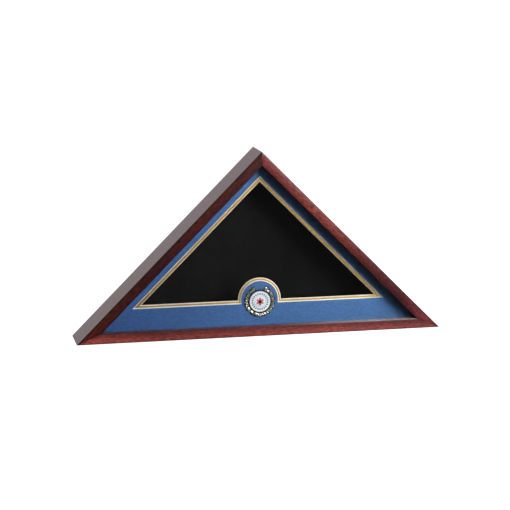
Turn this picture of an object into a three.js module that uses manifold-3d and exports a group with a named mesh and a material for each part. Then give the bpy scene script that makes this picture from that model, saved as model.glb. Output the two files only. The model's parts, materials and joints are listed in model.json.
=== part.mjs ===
// Folded flag display case: a right-angled triangular shadow box that stands on its long side.
// Millimetres. +X runs along the long side, +Z is up and the glass faces -Y. The origin is on the
// ground plane, under the middle of the case.
//
// Two kinds of local frame are used. The panes, mats and panel lie in the case frame, whose
// coordinates are (x, depth behind the front face, z). Each of the three sides has a frame of its
// own, whose coordinates are (along the rail, depth behind the front face, inward from the outer
// face), so that a rail and everything fixed to it are made once and turned into place.

import * as THREE from 'three';
import { mergeVertices } from 'three/addons/utils/BufferGeometryUtils.js';
import Module from 'manifold-3d';

const wasm = await Module();
wasm.setup();

// --- Driving dimensions -----------------------------------------------------------------------

const CASE_WIDTH = 660;                 // over the sharp lower corners
const CASE_HEIGHT = CASE_WIDTH / 2;     // the apex is a right angle
const CASE_DEPTH = 76;                  // front face to back edge of the rails
const BUMPER_HEIGHT = 3;
const FRONT_Y = -(CASE_DEPTH + BUMPER_HEIGHT) / 2;
const LEG_LENGTH = CASE_HEIGHT * Math.SQRT2;
const ACUTE_HALF_ANGLE = Math.PI / 8;
const APEX_HALF_ANGLE = Math.PI / 4;

const RAIL_FACE = 18;                   // width of the moulding seen from the front
const RAIL_WALL = 12;                   // thickness behind the lip
const LIP_DEPTH = 13;
const FACE_CROWN = 0.6;                 // the face is slightly rounded across its width
const FRONT_ARRIS = 1.5;
const BACK_ARRIS = 1;
const MITRE_GAP = 0.24;
const ACUTE_TIP_SANDING = 0.5;          // the sharp tips are sanded back this far
const APEX_TIP_SANDING = 0.4;

const WALL_CLEARANCE = 0.5;             // loose pieces dropped into the case
const GLUE_GAP = 0.15;                  // strips glued to the walls
const LAYER_GAP = 0.05;                 // between stacked layers
const STRIP_MITRE_GAP = 0.3;

const GLASS_THICKNESS = 2;
const SPACER_WIDTH = 3.5;
const MAT_FRONT = 21;                   // depth of the top mat's face
const MAT_THICKNESS = 1.4;
const RETAINER_WIDTH = 5.8;
const RETAINER_DEPTH = 6;

const TOP_MAT_SIDE = 32.3;              // widths of the two mats, from the outer faces of the case
const TOP_MAT_BOTTOM = 55.6;
const UNDER_MAT_SIDE = 38.1;
const UNDER_MAT_BOTTOM = 60.2;
const ARCH_CENTRE_Z = 62.8;
const TOP_ARCH_RADIUS = 33.2;
const UNDER_ARCH_RADIUS = 37.6;
const ARCH_STEPS = 32;

const MEDALLION_Z = 59.4;
const PAD_RADIUS = 20;
const PAD_THICKNESS = 0.8;
const WREATH_RADIUS = 26.8;
const WREATH_LEAF_RISE = 1.7;
const WREATH_LEAVES = 24;
const WREATH_FLARE = 3;                 // the branches spread outwards towards their tips
const WREATH_BAND_RADIUS = 21.5;        // plain band between the two branch tips
const WREATH_GAP_HALF_ANGLE = Math.PI / 6;
const WREATH_THICKNESS = 2;
const ENAMEL_RADIUS = 18.8;
const ENAMEL_HOLE_RADIUS = 10.2;
const ENAMEL_THICKNESS = 0.6;
const ROUNDEL_RADIUS = 10;
const ROUNDEL_THICKNESS = 0.7;
const ROSETTE_RADIUS = 7.2;
const ROSETTE_WAIST = 4;
const ROSETTE_PETALS = 6;
const ROSETTE_THICKNESS = 0.5;
const BOSS_RADIUS = 3;
const BOSS_THICKNESS = 0.6;

const PANEL_THICKNESS = 4;
const PANEL_RECESS = 0.5;               // panel face below the back edge of the rails
const PANEL_TOP_Z = 272.6;
const LINING_THICKNESS = 1.2;
const STOP_WIDTH = 6.8;
const STOP_DEPTH = 6;
const STOP_APEX_TRIM = 71;              // the stops end square below the apex block

const BLOCK_BASE_Z = 273;
const BLOCK_THICKNESS = 16;
const HANGER_Z = 283;
const HANGER_WIDTH = 46;
const HANGER_HEIGHT = 10;
const HANGER_THICKNESS = 0.8;
const HANGER_RISE = 1.4;
const HANGER_TEETH = 9;
const HANGER_TOOTH = 2;
const NAIL_OFFSET = 19;
const NAIL_RADIUS = 0.7;
const NAIL_LENGTH = 11;
const NAIL_HEAD_RADIUS = 1.7;
const NAIL_HEAD = 0.7;

const V_NAIL_THICKNESS = 0.8;
const V_NAIL_DEPTH = 9;
const V_NAIL_LEG = 10;
const V_NAIL_CLEARANCE = 0.2;

const BUTTON_RADIUS = 5;
const BUTTON_TIP_RADIUS = 4;
const BUTTON_REACH = 17;
const BUTTON_THICKNESS = 1.2;
const SCREW_RADIUS = 1.4;
const SCREW_LENGTH = 13;
const SCREW_HEAD_RADIUS = 3.2;
const SCREW_HEAD = 1.5;
const SCREW_SLOT = 0.8;
const HOLE_CLEARANCE = 0.09;

const BUMPER_RADIUS = 5;
const BUMPER_INSET = 52;                // from each lower corner, along the bottom rail

// --- Depths of the layers, measured behind the front face ------------------------------------

const GLASS_FRONT = LIP_DEPTH + LAYER_GAP;
const SPACER_FRONT = GLASS_FRONT + GLASS_THICKNESS + LAYER_GAP;
const UNDER_MAT_FRONT = MAT_FRONT + MAT_THICKNESS + LAYER_GAP;
const RETAINER_FRONT = UNDER_MAT_FRONT + MAT_THICKNESS + LAYER_GAP;
const PANEL_FRONT = CASE_DEPTH - PANEL_RECESS - PANEL_THICKNESS;
const STOP_BACK = PANEL_FRONT - LAYER_GAP;

// --- Materials --------------------------------------------------------------------------------

const COLOURS = {
  stainedWood: { color: 0x5a211c, roughness: 0.35, metalness: 0 },
  plainWood: { color: 0xb08a5a, roughness: 0.75, metalness: 0 },
  glass: { color: 0xdfe8e6, roughness: 0.05, metalness: 0, transparent: true, opacity: 0.2 },
  blackPlastic: { color: 0x141416, roughness: 0.6, metalness: 0 },
  blueMat: { color: 0x3f6496, roughness: 0.9, metalness: 0 },
  goldMat: { color: 0xa98a52, roughness: 0.4, metalness: 0.6 },
  foam: { color: 0xe9e6df, roughness: 0.95, metalness: 0 },
  castMetal: { color: 0x9a8f70, roughness: 0.35, metalness: 0.9 },
  whiteEnamel: { color: 0xe6e9ee, roughness: 0.15, metalness: 0 },
  redEnamel: { color: 0xb23c46, roughness: 0.15, metalness: 0 },
  blueEnamel: { color: 0x1c2747, roughness: 0.15, metalness: 0 },
  fibreboard: { color: 0x6b4a30, roughness: 0.8, metalness: 0 },
  blackVelvet: { color: 0x0c0c0e, roughness: 1, metalness: 0 },
  brass: { color: 0xb08d4a, roughness: 0.35, metalness: 1 },
  steel: { color: 0x9a9da2, roughness: 0.35, metalness: 1 },
  rubber: { color: 0x1c1c1d, roughness: 0.85, metalness: 0 },
};

function named(name, geometry, finish) {
  const mesh = new THREE.Mesh(geometry, new THREE.MeshStandardMaterial(COLOURS[finish]));
  mesh.name = name;
  return mesh;
}

// --- Solids -----------------------------------------------------------------------------------

function solidOf(geometry) {
  const bare = geometry.clone();
  bare.deleteAttribute('normal');
  bare.deleteAttribute('uv');
  const welded = mergeVertices(bare, 1e-4);
  return new wasm.Manifold(new wasm.Mesh({
    numProp: 3,
    vertProperties: new Float32Array(welded.attributes.position.array),
    triVerts: new Uint32Array(welded.index.array),
  }));
}

function geometryOf(solid) {
  const mesh = solid.getMesh();
  const geometry = new THREE.BufferGeometry();
  const positions = new Float32Array(mesh.vertProperties);
  geometry.setAttribute('position', new THREE.BufferAttribute(positions, 3));
  geometry.setIndex(new THREE.BufferAttribute(new Uint32Array(mesh.triVerts), 1));
  geometry.computeVertexNormals();
  return geometry;
}

function subtractAll(solid, cutters) {
  return cutters.reduce((left, cutter) => left.subtract(cutter), solid);
}

const vector = ([x, z]) => new THREE.Vector2(x, z);

// A flat piece: an outline in the case plane, with a thickness from one depth to another.
function plate(outline, frontDepth, backDepth) {
  const shape = outline instanceof THREE.Shape ? outline : new THREE.Shape(outline.map(vector));
  const geometry = new THREE.ExtrudeGeometry(shape, {
    depth: backDepth - frontDepth, bevelEnabled: false, curveSegments: 12,
  });
  geometry.rotateX(Math.PI / 2);
  geometry.translate(0, backDepth, 0);
  return solidOf(geometry);
}

// A solid between two outlines with the same number of corners, one at each depth.
function taperedPlate(frontOutline, frontDepth, backOutline, backDepth) {
  const count = frontOutline.length;
  const positions = [];
  frontOutline.forEach(([x, z]) => positions.push(x, frontDepth, z));
  backOutline.forEach(([x, z]) => positions.push(x, backDepth, z));
  const index = [];
  for (const [a, b, c] of THREE.ShapeUtils.triangulateShape(frontOutline.map(vector), [])) {
    index.push(a, b, c, count + a, count + c, count + b);
  }
  for (let i = 0; i < count; i += 1) {
    const next = (i + 1) % count;
    index.push(i, count + i, next, next, count + i, count + next);
  }
  const geometry = new THREE.BufferGeometry();
  geometry.setAttribute('position', new THREE.Float32BufferAttribute(positions, 3));
  geometry.setIndex(index);
  return solidOf(geometry);
}

function cylinder(radius, start, end, x, z, segments = 24) {
  const geometry = new THREE.CylinderGeometry(radius, radius, end - start, segments);
  geometry.translate(x, (start + end) / 2, z);
  return solidOf(geometry);
}

function lathe(profile, segments = 24) {
  return new THREE.LatheGeometry(profile.map(vector), segments);
}

// --- The three sides --------------------------------------------------------------------------

const SIDES = {
  bottom: {
    length: CASE_WIDTH, startHalfAngle: ACUTE_HALF_ANGLE, endHalfAngle: ACUTE_HALF_ANGLE,
    startTip: ACUTE_TIP_SANDING, endTip: ACUTE_TIP_SANDING,
    x: -CASE_WIDTH / 2, z: 0, turn: 0,
    buttons: [{ end: 'left', share: 0.24, heading: 0 }, { end: 'right', share: 0.76, heading: Math.PI }],
  },
  left: {
    length: LEG_LENGTH, startHalfAngle: APEX_HALF_ANGLE, endHalfAngle: ACUTE_HALF_ANGLE,
    startTip: APEX_TIP_SANDING, endTip: ACUTE_TIP_SANDING,
    x: 0, z: CASE_HEIGHT, turn: 3 * Math.PI / 4,
    buttons: [{ end: 'upper', share: 0.32, heading: 0 }, { end: 'lower', share: 0.68, heading: 0 }],
  },
  right: {
    length: LEG_LENGTH, startHalfAngle: ACUTE_HALF_ANGLE, endHalfAngle: APEX_HALF_ANGLE,
    startTip: ACUTE_TIP_SANDING, endTip: APEX_TIP_SANDING,
    x: CASE_WIDTH / 2, z: 0, turn: -3 * Math.PI / 4,
    buttons: [{ end: 'lower', share: 0.32, heading: Math.PI }, { end: 'upper', share: 0.68, heading: Math.PI }],
  },
};

// The part of the case plane that belongs to one side: a triangle from the side to the point
// where the mitres meet, drawn back from each mitre by half the gap and blunted at its tips.
function mitreOutline(side, gap) {
  const { length, startHalfAngle: a, endHalfAngle: b, startTip, endTip } = side;
  const half = gap / 2;
  const startX = half / Math.sin(a);
  const endX = length - half / Math.sin(b);
  const height = (endX - startX) / (1 / Math.tan(a) + 1 / Math.tan(b));
  return [
    [startTip / Math.cos(a), 0],
    [length - endTip / Math.cos(b), 0],
    [length - endTip * Math.cos(b) - half * Math.sin(b), endTip * Math.sin(b) - half * Math.cos(b)],
    [startX + height / Math.tan(a), height],
    [startTip * Math.cos(a) + half * Math.sin(a), startTip * Math.sin(a) - half * Math.cos(a)],
  ];
}

// A bar along one side. Its section is drawn as (inward, depth).
function mitredBar(side, section, gap) {
  const geometry = new THREE.ExtrudeGeometry(section, {
    depth: side.length, bevelEnabled: false, curveSegments: 8,
  });
  const inward = new THREE.Vector3(0, 0, 1);
  const depth = new THREE.Vector3(0, 1, 0);
  const back = new THREE.Vector3(-1, 0, 0);
  geometry.applyMatrix4(new THREE.Matrix4().makeBasis(inward, depth, back));
  geometry.translate(side.length, 0, 0);
  return solidOf(geometry).intersect(plate(mitreOutline(side, gap), -1, CASE_DEPTH + 1));
}

function stripSection(width, frontDepth, backDepth) {
  const inner = RAIL_WALL + GLUE_GAP;
  return new THREE.Shape([
    [inner, frontDepth], [inner + width, frontDepth],
    [inner + width, backDepth], [inner, backDepth],
  ].map(vector));
}

// --- Corner V-nails ---------------------------------------------------------------------------

const V_NAILS = {
  acute: { start: 14, spread: Math.PI / 6 },
  apex: { start: 6.5, spread: Math.PI / 4 },
};

// The V straddles the mitre, with its point towards the corner of the case.
function chevron([cornerX, cornerZ], bisector, { start, spread }, margin) {
  const half = V_NAIL_THICKNESS / 2 + margin;
  const reach = V_NAIL_LEG + margin;
  const along = start + reach * Math.cos(spread);
  const across = reach * Math.sin(spread);
  const stepAlong = half * Math.sin(spread);
  const stepAcross = half * Math.cos(spread);
  const outline = [
    [start - half / Math.sin(spread), 0],
    [along - stepAlong, -across - stepAcross],
    [along + stepAlong, -across + stepAcross],
    [start + half / Math.sin(spread), 0],
    [along + stepAlong, across - stepAcross],
    [along - stepAlong, across + stepAcross],
  ];
  return outline.map(([s, t]) => [
    cornerX + s * Math.cos(bisector) - t * Math.sin(bisector),
    cornerZ + s * Math.sin(bisector) + t * Math.cos(bisector),
  ]);
}

function nailAt(halfAngle) {
  return halfAngle === APEX_HALF_ANGLE ? V_NAILS.apex : V_NAILS.acute;
}

function vNailSlots(side) {
  const floor = CASE_DEPTH - V_NAIL_DEPTH - V_NAIL_CLEARANCE;
  const ends = [
    [[0, 0], side.startHalfAngle, nailAt(side.startHalfAngle)],
    [[side.length, 0], Math.PI - side.endHalfAngle, nailAt(side.endHalfAngle)],
  ];
  return ends.map(([corner, bisector, nail]) => plate(
    chevron(corner, bisector, nail, V_NAIL_CLEARANCE), floor, CASE_DEPTH + 1,
  ));
}

function vNail(name, corner, bisector, nail) {
  const solid = plate(chevron(corner, bisector, nail, 0), CASE_DEPTH - V_NAIL_DEPTH, CASE_DEPTH);
  return named(name, geometryOf(solid), 'steel');
}

// --- Pieces that follow a side ----------------------------------------------------------------

// The moulding: a crowned face with rounded arrises, a lip for the glass and a thinner wall.
function railSection() {
  const middle = RAIL_FACE / 2;
  const edgeDepth = FACE_CROWN * (1 - FRONT_ARRIS / middle) ** 2;
  const section = new THREE.Shape();
  section.moveTo(0, FACE_CROWN + FRONT_ARRIS);
  section.quadraticCurveTo(0, FACE_CROWN, FRONT_ARRIS, edgeDepth);
  section.quadraticCurveTo(middle, -edgeDepth, RAIL_FACE - FRONT_ARRIS, edgeDepth);
  section.quadraticCurveTo(RAIL_FACE, FACE_CROWN, RAIL_FACE, FACE_CROWN + FRONT_ARRIS);
  section.lineTo(RAIL_FACE, LIP_DEPTH);
  section.lineTo(RAIL_WALL, LIP_DEPTH);
  section.lineTo(RAIL_WALL, CASE_DEPTH);
  section.lineTo(BACK_ARRIS, CASE_DEPTH);
  section.quadraticCurveTo(0, CASE_DEPTH, 0, CASE_DEPTH - BACK_ARRIS);
  section.closePath();
  return section;
}

function rail(name, side) {
  const holeRadius = SCREW_RADIUS + HOLE_CLEARANCE;
  const holes = side.buttons.map(({ share }) => cylinder(
    holeRadius, CASE_DEPTH - SCREW_LENGTH, CASE_DEPTH + 1, share * side.length, RAIL_WALL / 2,
  ));
  const solid = subtractAll(mitredBar(side, railSection(), MITRE_GAP), [...vNailSlots(side), ...holes]);
  return named(name, geometryOf(solid), 'stainedWood');
}

function strip(name, side, width, frontDepth, backDepth, finish) {
  const solid = mitredBar(side, stripSection(width, frontDepth, backDepth), STRIP_MITRE_GAP);
  return named(name, geometryOf(solid), finish);
}

function backStop(name, side) {
  const bar = mitredBar(side, stripSection(STOP_WIDTH, STOP_BACK - STOP_DEPTH, STOP_BACK), STRIP_MITRE_GAP);
  const startTrim = side.startHalfAngle === APEX_HALF_ANGLE ? STOP_APEX_TRIM : 0;
  const endTrim = side.endHalfAngle === APEX_HALF_ANGLE ? STOP_APEX_TRIM : 0;
  const keep = plate([
    [startTrim, 0], [side.length - endTrim, 0],
    [side.length - endTrim, RAIL_WALL * 2], [startTrim, RAIL_WALL * 2],
  ], 0, CASE_DEPTH);
  return named(name, geometryOf(bar.intersect(keep)), 'plainWood');
}

// A teardrop catch that turns flat on the back edge of a rail. Its tongue lies along the rail, and
// a quarter turn brings it over the back panel.
function turnButton(name) {
  const outline = new THREE.Shape();
  const lean = Math.asin((BUTTON_RADIUS - BUTTON_TIP_RADIUS) / BUTTON_REACH);
  const edge = Math.PI / 2 - lean;
  outline.absarc(0, 0, BUTTON_RADIUS, edge, -edge, false);
  outline.absarc(BUTTON_REACH, 0, BUTTON_TIP_RADIUS, -edge, edge, false);
  outline.closePath();
  const hole = cylinder(SCREW_RADIUS + HOLE_CLEARANCE, -1, BUTTON_THICKNESS + 1, 0, 0);
  const solid = plate(outline, 0, BUTTON_THICKNESS).subtract(hole);
  return named(name, geometryOf(solid), 'brass');
}

// A round-head screw with a slot, standing in the middle of its turn button.
function buttonScrew(name) {
  const seat = BUTTON_THICKNESS + LAYER_GAP;
  const top = seat + SCREW_HEAD;
  const body = solidOf(lathe([
    [0, -SCREW_LENGTH + LAYER_GAP * 4],
    [SCREW_RADIUS, -SCREW_LENGTH + SCREW_RADIUS * 2],
    [SCREW_RADIUS, seat],
    [SCREW_HEAD_RADIUS, seat],
    [SCREW_HEAD_RADIUS * 0.93, seat + SCREW_HEAD * 0.45],
    [SCREW_HEAD_RADIUS * 0.62, seat + SCREW_HEAD * 0.85],
    [0, top],
  ]));
  const slot = new THREE.BoxGeometry(SCREW_HEAD_RADIUS * 3, SCREW_SLOT * 2, SCREW_SLOT);
  slot.translate(0, top, 0);
  return named(name, geometryOf(body.subtract(solidOf(slot))), 'brass');
}

function bumper(name) {
  const profile = [
    [0, 0], [BUMPER_RADIUS, 0], [BUMPER_RADIUS, BUMPER_HEIGHT * 0.6],
    [BUMPER_RADIUS * 0.8, BUMPER_HEIGHT], [0, BUMPER_HEIGHT],
  ];
  return named(name, geometryOf(solidOf(lathe(profile))), 'rubber');
}

// --- Panes, mats and panel --------------------------------------------------------------------

// The triangle at a given distance in from the outer faces.
function insetTriangle(inset) {
  const reach = CASE_WIDTH / 2 - inset / Math.tan(ACUTE_HALF_ANGLE);
  return [[-reach, inset], [reach, inset], [0, CASE_HEIGHT - inset * Math.SQRT2]];
}

// The opening in a mat: a triangle whose lower edge rises in an arch around the medallion.
function windowOutline(sideInset, bottomInset, archRadius) {
  const slopeX = (z) => z - CASE_HEIGHT + sideInset * Math.SQRT2;
  const arch = [];
  for (let i = 0; i <= ARCH_STEPS; i += 1) {
    const angle = Math.PI - (Math.PI * i) / ARCH_STEPS;
    arch.push([archRadius * Math.cos(angle), ARCH_CENTRE_Z + archRadius * Math.sin(angle)]);
  }
  return [
    [slopeX(bottomInset), bottomInset],
    [-archRadius, bottomInset],
    ...arch,
    [archRadius, bottomInset],
    [-slopeX(bottomInset), bottomInset],
    [0, CASE_HEIGHT - sideInset * Math.SQRT2],
  ];
}

// A mat board with its opening cut at 45 degrees, so that the pale core shows as a thin line.
function matBoard(name, frontDepth, sideInset, bottomInset, archRadius, finish) {
  const blank = plate(insetTriangle(RAIL_WALL + WALL_CLEARANCE), frontDepth, frontDepth + MAT_THICKNESS);
  const overrun = 0.5;
  const openingAt = (step) => windowOutline(sideInset + step, bottomInset + step, archRadius + step);
  const opening = taperedPlate(
    openingAt(-overrun), frontDepth - overrun,
    openingAt(MAT_THICKNESS + overrun), frontDepth + MAT_THICKNESS + overrun,
  );
  return named(name, geometryOf(blank.subtract(opening)), finish);
}

// A triangle cut off level below the apex.
function trimmedPlate(inset, topZ, frontDepth, backDepth) {
  const [[leftX, baseZ], [rightX]] = insetTriangle(inset);
  const topHalf = CASE_HEIGHT - inset * Math.SQRT2 - topZ;
  const outline = [[leftX, baseZ], [rightX, baseZ], [topHalf, topZ], [-topHalf, topZ]];
  return plate(outline, frontDepth, backDepth);
}

function apexBlock() {
  const topZ = CASE_HEIGHT - (RAIL_WALL + GLUE_GAP) * Math.SQRT2;
  const half = topZ - BLOCK_BASE_Z;
  const outline = [[-half, BLOCK_BASE_Z], [half, BLOCK_BASE_Z], [0, topZ]];
  const body = plate(outline, CASE_DEPTH - BLOCK_THICKNESS, CASE_DEPTH);
  const holes = [-NAIL_OFFSET, NAIL_OFFSET].map((x) => cylinder(
    NAIL_RADIUS + HOLE_CLEARANCE, CASE_DEPTH - NAIL_LENGTH - 1, CASE_DEPTH + 1, x, HANGER_Z, 12,
  ));
  return named('apex_block', geometryOf(subtractAll(body, holes)), 'plainWood');
}

// A stamped strip with flat ends, a raised middle and teeth along its lower edge.
function sawtoothHanger() {
  const base = CASE_DEPTH + LAYER_GAP;
  const flat = HANGER_WIDTH / 2;
  const rampOut = flat - 7.5;
  const rampIn = rampOut - 2;
  const outer = [[-flat, 0], [-rampOut, 0], [-rampIn, HANGER_RISE], [rampIn, HANGER_RISE],
    [rampOut, 0], [flat, 0]];
  const upper = outer.map(([x, y]) => [x, y + HANGER_THICKNESS]).reverse();
  const section = new THREE.Shape([...outer, ...upper].map(vector));
  const geometry = new THREE.ExtrudeGeometry(section, { depth: HANGER_HEIGHT, bevelEnabled: false });
  geometry.translate(0, base, HANGER_Z - HANGER_HEIGHT / 2);
  const pitch = (2 * rampIn - 2) / HANGER_TEETH;
  const teeth = [];
  for (let i = 0; i < HANGER_TEETH; i += 1) {
    const x = (i - (HANGER_TEETH - 1) / 2) * pitch;
    const low = HANGER_Z - HANGER_HEIGHT / 2;
    teeth.push(plate([
      [x - pitch / 2, low - 1], [x + pitch / 2, low - 1], [x, low + HANGER_TOOTH],
    ], base - 1, base + HANGER_RISE + 2));
  }
  const holes = [-NAIL_OFFSET, NAIL_OFFSET].map((x) => cylinder(
    NAIL_RADIUS + HOLE_CLEARANCE, base - 1, base + 3, x, HANGER_Z, 12,
  ));
  const solid = subtractAll(solidOf(geometry), [...teeth, ...holes]);
  return named('sawtooth_hanger', geometryOf(solid), 'brass');
}

function hangerNail(name, x) {
  const seat = HANGER_THICKNESS + 2 * LAYER_GAP;
  const geometry = lathe([
    [0, -NAIL_LENGTH], [NAIL_RADIUS, -NAIL_LENGTH + 2], [NAIL_RADIUS, seat],
    [NAIL_HEAD_RADIUS, seat], [NAIL_HEAD_RADIUS * 0.8, seat + NAIL_HEAD], [0, seat + NAIL_HEAD],
  ], 12);
  const nail = named(name, geometryOf(solidOf(geometry)), 'steel');
  nail.position.set(x, CASE_DEPTH, HANGER_Z);
  return nail;
}

// --- Medallion --------------------------------------------------------------------------------

// Layers are stacked from the mat towards the glass, about an axis through the medallion.
function layer(outline, backDepth, thickness) {
  return plate(outline, backDepth - thickness, backDepth);
}

function ringOutline(radiusAt, steps) {
  const points = [];
  for (let i = 0; i < steps; i += 1) {
    const angle = (2 * Math.PI * i) / steps;
    const radius = radiusAt(angle);
    points.push([radius * Math.sin(angle), radius * Math.cos(angle)]);
  }
  return points;
}

function medallion() {
  const group = new THREE.Group();
  const padBack = MAT_FRONT - LAYER_GAP;
  const wreathBack = padBack - PAD_THICKNESS - LAYER_GAP;
  const enamelBack = wreathBack - WREATH_THICKNESS - LAYER_GAP;
  const rosetteBack = enamelBack - ROUNDEL_THICKNESS - LAYER_GAP;
  const bossBack = rosetteBack - ROSETTE_THICKNESS - LAYER_GAP;

  const pad = layer(ringOutline(() => PAD_RADIUS, 36), padBack, PAD_THICKNESS);
  const leafEdge = (angle) => {
    const height = Math.cos(angle);
    if (height > Math.cos(WREATH_GAP_HALF_ANGLE)) return WREATH_BAND_RADIUS;
    return WREATH_RADIUS + WREATH_FLARE * Math.max(0, height) ** 2
      + WREATH_LEAF_RISE * Math.abs(Math.cos((WREATH_LEAVES * angle) / 2));
  };
  const wreath = layer(ringOutline(leafEdge, WREATH_LEAVES * 6), wreathBack, WREATH_THICKNESS);
  const enamel = layer(ringOutline(() => ENAMEL_RADIUS, 48), enamelBack, ENAMEL_THICKNESS)
    .subtract(cylinder(ENAMEL_HOLE_RADIUS, 0, CASE_DEPTH, 0, 0, 36));
  const roundel = layer(ringOutline(() => ROUNDEL_RADIUS, 36), enamelBack, ROUNDEL_THICKNESS);
  const petalEdge = (angle) => ROSETTE_WAIST
    + (ROSETTE_RADIUS - ROSETTE_WAIST) * Math.abs(Math.cos((ROSETTE_PETALS * angle) / 2));
  const rosette = layer(ringOutline(petalEdge, ROSETTE_PETALS * 8), rosetteBack, ROSETTE_THICKNESS);
  const boss = layer(ringOutline(() => BOSS_RADIUS, 24), bossBack, BOSS_THICKNESS);
  group.add(
    named('medallion_pad', geometryOf(pad), 'foam'),
    named('medallion_wreath', geometryOf(wreath), 'castMetal'),
    named('medallion_enamel_ring', geometryOf(enamel), 'whiteEnamel'),
    named('medallion_roundel', geometryOf(roundel), 'whiteEnamel'),
    named('medallion_rosette', geometryOf(rosette), 'redEnamel'),
    named('medallion_boss', geometryOf(boss), 'blueEnamel'),
  );
  group.position.z = MEDALLION_Z;
  return group;
}

// --- Assembly ---------------------------------------------------------------------------------

const displayCase = new THREE.Group();
displayCase.name = 'flag_display_case';
displayCase.position.y = FRONT_Y;

const RAIL_NAMES = { bottom: 'bottom_rail', left: 'left_side_rail', right: 'right_side_rail' };

for (const [sideName, side] of Object.entries(SIDES)) {
  const frame = new THREE.Group();
  frame.position.set(side.x, 0, side.z);
  frame.rotation.y = side.turn;
  frame.add(
    rail(RAIL_NAMES[sideName], side),
    strip(`${sideName}_glass_spacer`, side, SPACER_WIDTH, SPACER_FRONT, MAT_FRONT - LAYER_GAP, 'blackPlastic'),
    strip(`${sideName}_mat_retainer`, side, RETAINER_WIDTH, RETAINER_FRONT,
      RETAINER_FRONT + RETAINER_DEPTH, 'plainWood'),
    backStop(`${sideName}_back_stop`, side),
  );
  for (const { end, share, heading } of side.buttons) {
    const place = `${sideName}_${end}`;
    const catchGroup = new THREE.Group();
    catchGroup.position.set(share * side.length, CASE_DEPTH + LAYER_GAP, RAIL_WALL / 2);
    catchGroup.rotation.y = heading;
    catchGroup.add(turnButton(`${place}_turn_button`), buttonScrew(`${place}_button_screw`));
    frame.add(catchGroup);
  }
  displayCase.add(frame);
}

displayCase.add(
  vNail('left_corner_v_nail', [-CASE_WIDTH / 2, 0], ACUTE_HALF_ANGLE, V_NAILS.acute),
  vNail('right_corner_v_nail', [CASE_WIDTH / 2, 0], Math.PI - ACUTE_HALF_ANGLE, V_NAILS.acute),
  vNail('apex_v_nail', [0, CASE_HEIGHT], -Math.PI / 2, V_NAILS.apex),
);

for (const [name, direction] of [['left_wall_bumper', -1], ['right_wall_bumper', 1]]) {
  const pad = bumper(name);
  pad.position.set(direction * (CASE_WIDTH / 2 - BUMPER_INSET), CASE_DEPTH, RAIL_WALL / 2);
  displayCase.add(pad);
}

const glass = plate(insetTriangle(RAIL_WALL + WALL_CLEARANCE), GLASS_FRONT, GLASS_FRONT + GLASS_THICKNESS);
const panel = trimmedPlate(RAIL_WALL + WALL_CLEARANCE, PANEL_TOP_Z, PANEL_FRONT, PANEL_FRONT + PANEL_THICKNESS);
const liningInset = RAIL_WALL + GLUE_GAP + STOP_WIDTH + WALL_CLEARANCE;
const liningBack = PANEL_FRONT - LAYER_GAP;
const lining = trimmedPlate(liningInset, PANEL_TOP_Z - 2, liningBack - LINING_THICKNESS, liningBack);

displayCase.add(
  named('glass_pane', geometryOf(glass), 'glass'),
  matBoard('top_mat', MAT_FRONT, TOP_MAT_SIDE, TOP_MAT_BOTTOM, TOP_ARCH_RADIUS, 'blueMat'),
  matBoard('under_mat', UNDER_MAT_FRONT, UNDER_MAT_SIDE, UNDER_MAT_BOTTOM, UNDER_ARCH_RADIUS, 'goldMat'),
  medallion(),
  named('back_panel', geometryOf(panel), 'fibreboard'),
  named('panel_lining', geometryOf(lining), 'blackVelvet'),
  apexBlock(),
  sawtoothHanger(),
  hangerNail('left_hanger_nail', -NAIL_OFFSET),
  hangerNail('right_hanger_nail', NAIL_OFFSET),
);

export default displayCase;
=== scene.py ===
import json
import math

import bmesh
import bpy
from mathutils import Matrix, Vector


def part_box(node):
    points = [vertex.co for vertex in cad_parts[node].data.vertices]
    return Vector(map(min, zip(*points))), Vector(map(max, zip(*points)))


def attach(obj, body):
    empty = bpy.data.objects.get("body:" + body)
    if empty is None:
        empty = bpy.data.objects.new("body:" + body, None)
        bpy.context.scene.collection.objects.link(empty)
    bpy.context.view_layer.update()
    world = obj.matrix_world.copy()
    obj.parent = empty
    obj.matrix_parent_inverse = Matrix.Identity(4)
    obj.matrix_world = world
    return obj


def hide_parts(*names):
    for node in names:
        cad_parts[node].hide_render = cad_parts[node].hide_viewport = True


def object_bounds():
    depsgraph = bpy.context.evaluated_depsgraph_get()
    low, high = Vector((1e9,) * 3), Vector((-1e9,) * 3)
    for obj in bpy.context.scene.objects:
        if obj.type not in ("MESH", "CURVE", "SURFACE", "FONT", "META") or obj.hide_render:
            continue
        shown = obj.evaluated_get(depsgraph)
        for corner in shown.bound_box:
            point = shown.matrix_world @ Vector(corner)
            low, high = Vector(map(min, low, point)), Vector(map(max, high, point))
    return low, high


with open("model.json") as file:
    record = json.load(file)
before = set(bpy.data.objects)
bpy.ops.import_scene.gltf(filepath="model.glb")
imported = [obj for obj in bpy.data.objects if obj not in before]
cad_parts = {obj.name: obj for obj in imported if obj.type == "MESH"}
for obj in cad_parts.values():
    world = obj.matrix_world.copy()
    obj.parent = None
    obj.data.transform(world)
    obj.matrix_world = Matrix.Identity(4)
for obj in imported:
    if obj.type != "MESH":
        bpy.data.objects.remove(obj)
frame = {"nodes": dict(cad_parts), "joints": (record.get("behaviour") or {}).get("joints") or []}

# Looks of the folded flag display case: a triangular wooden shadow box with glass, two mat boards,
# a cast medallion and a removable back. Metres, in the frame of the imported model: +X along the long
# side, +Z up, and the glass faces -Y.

CAD_LOW, CAD_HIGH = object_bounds()
MM = 0.001
NODES = frame["nodes"]
CASE = "case"

RAIL_LOW, RAIL_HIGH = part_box("bottom_rail")
FRONT_Y = RAIL_LOW.y
RAIL_FACE = RAIL_HIGH.z

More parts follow.
